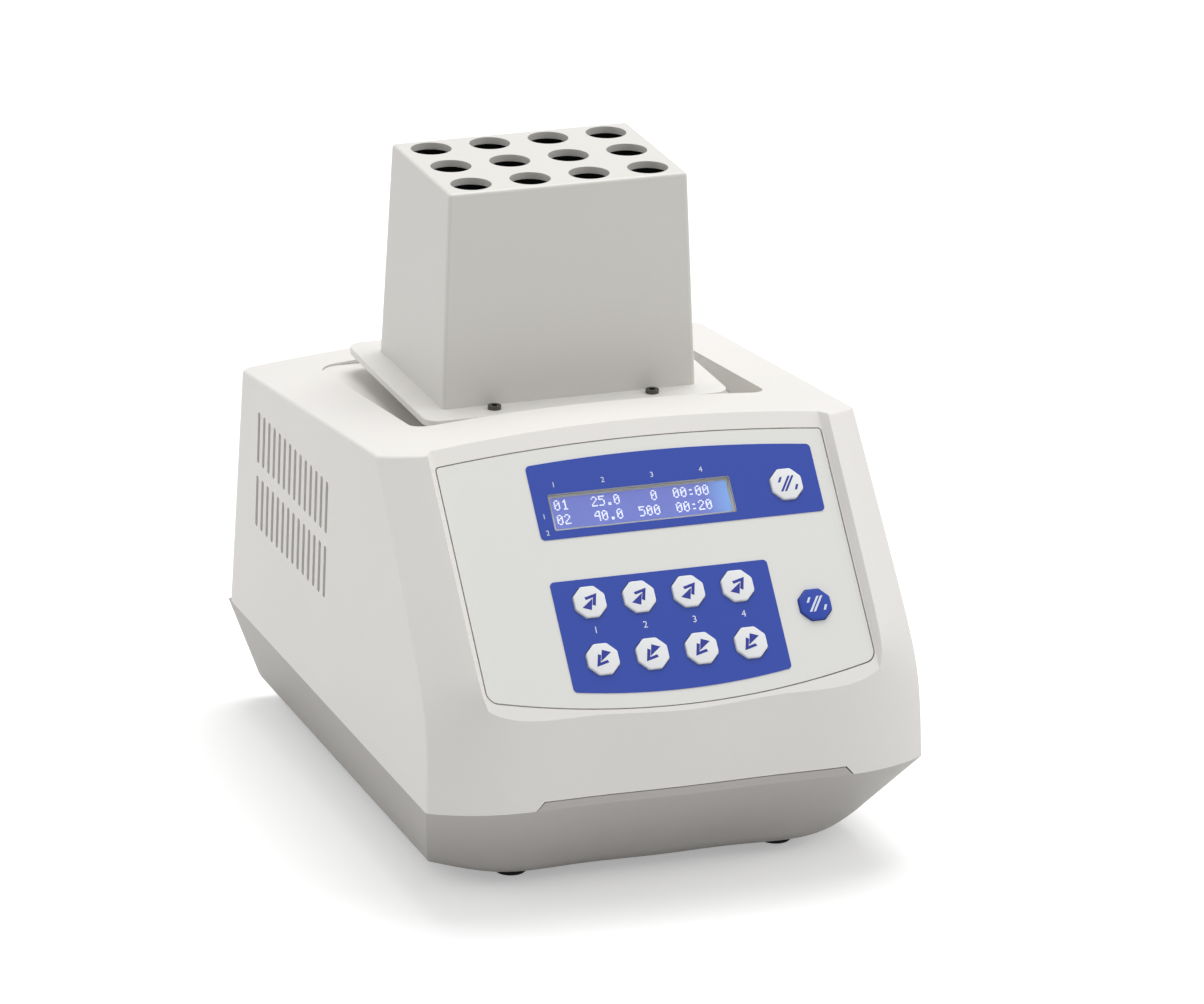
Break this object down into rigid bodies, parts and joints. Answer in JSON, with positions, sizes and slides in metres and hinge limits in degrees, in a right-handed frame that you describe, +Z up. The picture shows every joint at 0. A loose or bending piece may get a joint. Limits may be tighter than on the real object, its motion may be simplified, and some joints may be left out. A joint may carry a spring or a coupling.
{
  "type": "thermal mixer",
  "caption": "Bench thermal mixer: a block of tube wells orbits in a pocket of a sloped white housing with a display, keys, vents, fan and mains inlet.",
  "frame": {"origin": "on the bench surface under the feet, at the middle of the footprint's width and depth", "axes": "+X to the right of someone at the front, +Y to the back, +Z up"},
  "size_m": [0.2204, 0.2893, 0.2661],
  "materials": {
    "housing_white": "satin",
    "base_grey": "satin",
    "panel_white": "satin",
    "film_blue": "satin",
    "key_white": "satin",
    "key_blue": "satin",
    "window_clear": "clear",
    "lcd_blue": "backlit",
    "cover_grey": "satin",
    "aluminium_bare": "machined",
    "steel_bright": "ground",
    "steel_plate": "zinc plated",
    "rubber_black": "matt",
    "plastic_black": "satin",
    "board_green": "solder mask",
    "copper_winding": "enamelled",
    "ceramic_white": "ceramic",
    "ribbon_grey": "flexible"
  },
  "bodies": {
    "housing": {"upper_housing": "housing_white", "base_tray": "base_grey", "rubber_feet": "rubber_black", "housing_screws": "steel_bright", "control_panel": "panel_white", "panel_overlays": "film_blue", "display_window": "window_clear", "lcd_module": "plastic_black", "lcd_glass": "lcd_blue", "keypad_board": "board_green", "deck_bearings": "steel_bright", "bearing_housing": "aluminium_bare", "motor_housing": "steel_plate", "motor_stator": "copper_winding", "drive_belt": "rubber_black", "drive_deck": "steel_plate", "deck_pillars": "steel_plate", "chassis_plate": "steel_plate", "chassis_screws": "steel_bright", "power_supply": "steel_plate", "main_board": "board_green", "ribbon_cable": "ribbon_grey", "rear_panel": "steel_plate", "fan_frame": "plastic_black", "fan_guard": "steel_bright", "power_inlet": "plastic_black", "power_switch": "plastic_black"},
    "spindle": {"main_shaft": "steel_bright", "shaft_pulley": "aluminium_bare", "counterweight": "steel_bright"},
    "carriage": {"carriage_plate": "aluminium_bare", "carriage_bearing": "steel_bright", "flange_posts": "aluminium_bare", "heat_sink": "aluminium_bare", "thermoelectric_modules": "ceramic_white", "heat_spreader": "aluminium_bare", "temperature_sensor": "steel_bright", "tube_block": "aluminium_bare", "block_cover": "cover_grey", "cover_flange": "aluminium_bare", "flange_screws": "steel_bright"},
    "idler_1": {"idler_crank_1": "steel_bright"},
    "idler_2": {"idler_crank_2": "steel_bright"},
    "idler_3": {"idler_crank_3": "steel_bright"},
    "idler_4": {"idler_crank_4": "steel_bright"},
    "motor_rotor": {"motor_shaft": "steel_bright", "motor_pulley": "aluminium_bare"},
    "fan": {"fan_rotor": "plastic_black"},
    "key_up_1_button": {"key_up_1": "key_white"},
    "key_up_2_button": {"key_up_2": "key_white"},
    "key_up_3_button": {"key_up_3": "key_white"},
    "key_up_4_button": {"key_up_4": "key_white"},
    "key_down_1_button": {"key_down_1": "key_white"},
    "key_down_2_button": {"key_down_2": "key_white"},
    "key_down_3_button": {"key_down_3": "key_white"},
    "key_down_4_button": {"key_down_4": "key_white"},
    "key_run_button": {"key_run": "key_white"},
    "key_stop_button": {"key_stop": "key_blue"},
    "drawer": {"fuse_drawer": "plastic_black"},
    "rocker": {"switch_rocker": "plastic_black"}
  },
  "joints": [
    {"name": "spindle_spin", "type": "hinge", "parent": "housing", "child": "spindle", "pos_m": [0, 0.05, 0.1], "axis": [0, 0, 1], "continuous": true},
    {"name": "carriage_orbit", "type": "hinge", "parent": "spindle", "child": "carriage", "pos_m": [0, 0.0515, 0.125], "axis": [0, 0, 1], "continuous": true},
    {"name": "motor_spin", "type": "hinge", "parent": "housing", "child": "motor_rotor", "pos_m": [0, -0.016, 0.072], "axis": [0, 0, 1], "continuous": true},
    {"name": "idler_spin_1", "type": "hinge", "parent": "housing", "child": "idler_1", "pos_m": [-0.052, 0.014, 0.1], "axis": [0, 0, 1], "continuous": true},
    {"name": "idler_spin_2", "type": "hinge", "parent": "housing", "child": "idler_2", "pos_m": [0.052, 0.014, 0.1], "axis": [0, 0, 1], "continuous": true},
    {"name": "idler_spin_3", "type": "hinge", "parent": "housing", "child": "idler_3", "pos_m": [-0.052, 0.086, 0.1], "axis": [0, 0, 1], "continuous": true},
    {"name": "idler_spin_4", "type": "hinge", "parent": "housing", "child": "idler_4", "pos_m": [0.052, 0.086, 0.1], "axis": [0, 0, 1], "continuous": true},
    {"name": "fan_spin", "type": "hinge", "parent": "housing", "child": "fan", "pos_m": [0.05, 0.119, 0.096], "axis": [0, 1, 0], "continuous": true},
    {"name": "key_up_1_press", "type": "slide", "parent": "housing", "child": "key_up_1_button", "axis": [0, 0.7501, -0.6613], "range_m": [0, 0.0006], "stiffness_N_per_m": 300, "springref_m": -0.0005},
    {"name": "key_up_2_press", "type": "slide", "parent": "housing", "child": "key_up_2_button", "axis": [0, 0.7501, -0.6613], "range_m": [0, 0.0006], "stiffness_N_per_m": 300, "springref_m": -0.0005},
    {"name": "key_up_3_press", "type": "slide", "parent": "housing", "child": "key_up_3_button", "axis": [0, 0.7501, -0.6613], "range_m": [0, 0.0006], "stiffness_N_per_m": 300, "springref_m": -0.0005},
    {"name": "key_up_4_press", "type": "slide", "parent": "housing", "child": "key_up_4_button", "axis": [0, 0.7501, -0.6613], "range_m": [0, 0.0006], "stiffness_N_per_m": 300, "springref_m": -0.0005},
    {"name": "key_down_1_press", "type": "slide", "parent": "housing", "child": "key_down_1_button", "axis": [0, 0.7501, -0.6613], "range_m": [0, 0.0006], "stiffness_N_per_m": 300, "springref_m": -0.0005},
    {"name": "key_down_2_press", "type": "slide", "parent": "housing", "child": "key_down_2_button", "axis": [0, 0.7501, -0.6613], "range_m": [0, 0.0006], "stiffness_N_per_m": 300, "springref_m": -0.0005},
    {"name": "key_down_3_press", "type": "slide", "parent": "housing", "child": "key_down_3_button", "axis": [0, 0.7501, -0.6613], "range_m": [0, 0.0006], "stiffness_N_per_m": 300, "springref_m": -0.0005},
    {"name": "key_down_4_press", "type": "slide", "parent": "housing", "child": "key_down_4_button", "axis": [0, 0.7501, -0.6613], "range_m": [0, 0.0006], "stiffness_N_per_m": 300, "springref_m": -0.0005},
    {"name": "key_run_press", "type": "slide", "parent": "housing", "child": "key_run_button", "axis": [0, 0.7501, -0.6613], "range_m": [0, 0.0006], "stiffness_N_per_m": 300, "springref_m": -0.0005},
    {"name": "key_stop_press", "type": "slide", "parent": "housing", "child": "key_stop_button", "axis": [0, 0.7501, -0.6613], "range_m": [0, 0.0006], "stiffness_N_per_m": 300, "springref_m": -0.0005},
    {"name": "fuse_drawer_slide", "type": "slide", "parent": "housing", "child": "drawer", "axis": [0, 1, 0], "range_m": [0, 0.012]},
    {"name": "mains_rocker", "type": "hinge", "parent": "housing", "child": "rocker", "pos_m": [-0.008, 0.131, 0.078], "axis": [1, 0, 0], "range_deg": [-16, 0]}
  ],
  "couplings": [
    {"joint": "carriage_orbit", "follows": "spindle_spin", "ratio": -1},
    {"joint": "motor_spin", "follows": "spindle_spin", "ratio": 2},
    {"joint": "idler_spin_1", "follows": "spindle_spin", "ratio": 1},
    {"joint": "idler_spin_2", "follows": "spindle_spin", "ratio": 1},
    {"joint": "idler_spin_3", "follows": "spindle_spin", "ratio": 1},
    {"joint": "idler_spin_4", "follows": "spindle_spin", "ratio": 1}
  ]
}
